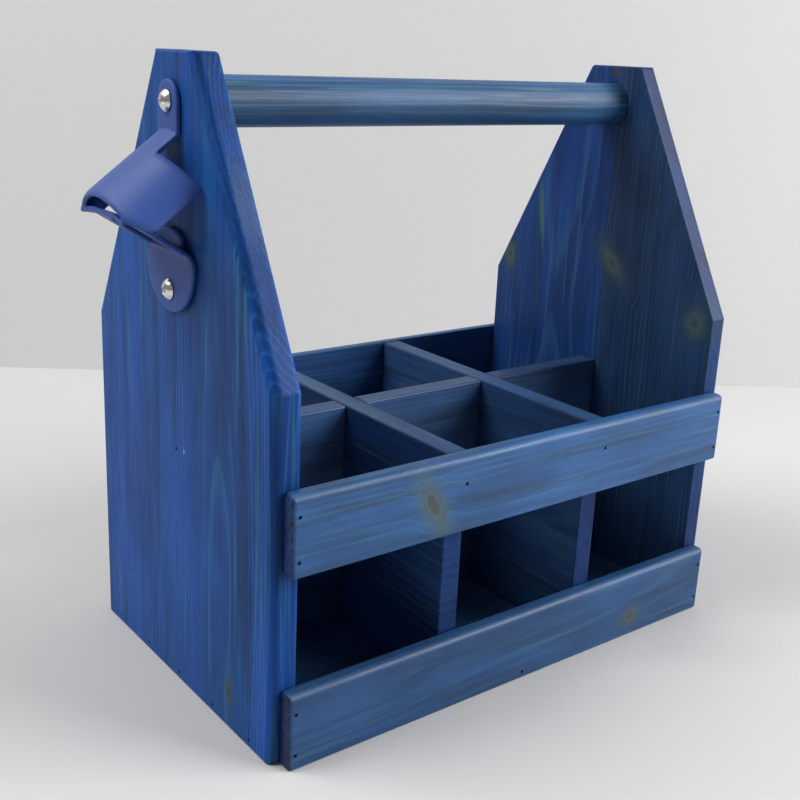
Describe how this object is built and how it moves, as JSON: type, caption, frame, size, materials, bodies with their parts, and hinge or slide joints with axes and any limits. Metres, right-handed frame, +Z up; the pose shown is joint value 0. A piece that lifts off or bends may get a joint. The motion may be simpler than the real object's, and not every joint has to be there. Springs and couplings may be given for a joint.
{
  "type": "bottle carrier",
  "caption": "Open-topped wooden bottle carrier with gabled ends, slatted sides, crossed dividers, a dowel handle and a sheet-steel bottle opener screwed to one end.",
  "frame": {"origin": "the middle of the underside of the carrier's body, on the surface that it stands on; the opener on the left end is left out of that middle", "axes": "+X along the handle, towards the end board without the opener; +Y across the carrier, from the front slats to the back ones; +Z up"},
  "size_m": [0.2888, 0.1656, 0.265],
  "materials": {
    "stained_pine": "pine under a see-through blue stain, satin, with the grain and knots showing through",
    "opener_paint": "blue powder coat, satin, on bent steel sheet",
    "screw_plating": "bright nickel plating, polished",
    "nail_steel": "steel brad heads darkened by the stain that covers them"
  },
  "bodies": {
    "root": {"back_lower_slat": "stained_pine", "back_upper_slat": "stained_pine", "bottle_opener": "opener_paint", "bottom_board": "stained_pine", "front_lower_slat": "stained_pine", "front_upper_slat": "stained_pine", "handle_dowel": "stained_pine", "left_cross_divider": "stained_pine", "left_end_board": "stained_pine", "long_divider": "stained_pine", "nail_back_floor": "nail_steel", "nail_back_left_cross_divider": "nail_steel", "nail_back_lower_slat_left_1": "nail_steel", "nail_back_lower_slat_left_2": "nail_steel", "nail_back_lower_slat_right_1": "nail_steel", "nail_back_lower_slat_right_2": "nail_steel", "nail_back_right_cross_divider": "nail_steel", "nail_back_upper_slat_left_1": "nail_steel", "nail_back_upper_slat_left_2": "nail_steel", "nail_back_upper_slat_right_1": "nail_steel", "nail_back_upper_slat_right_2": "nail_steel", "nail_front_floor": "nail_steel", "nail_front_left_cross_divider": "nail_steel", "nail_front_lower_slat_left_1": "nail_steel", "nail_front_lower_slat_left_2": "nail_steel", "nail_front_lower_slat_right_1": "nail_steel", "nail_front_lower_slat_right_2": "nail_steel", "nail_front_right_cross_divider": "nail_steel", "nail_front_upper_slat_left_1": "nail_steel", "nail_front_upper_slat_left_2": "nail_steel", "nail_front_upper_slat_right_1": "nail_steel", "nail_front_upper_slat_right_2": "nail_steel", "nail_left_floor_1": "nail_steel", "nail_left_floor_2": "nail_steel", "nail_left_floor_3": "nail_steel", "nail_left_floor_4": "nail_steel", "nail_left_floor_5": "nail_steel", "nail_left_long_divider": "nail_steel", "nail_right_floor_1": "nail_steel", "nail_right_floor_2": "nail_steel", "nail_right_floor_3": "nail_steel", "nail_right_floor_4": "nail_steel", "nail_right_floor_5": "nail_steel", "nail_right_long_divider": "nail_steel", "opener_lower_screw": "screw_plating", "opener_upper_screw": "screw_plating", "right_cross_divider": "stained_pine", "right_end_board": "stained_pine", "right_handle_screw": "screw_plating"}
  },
  "joints": []
}
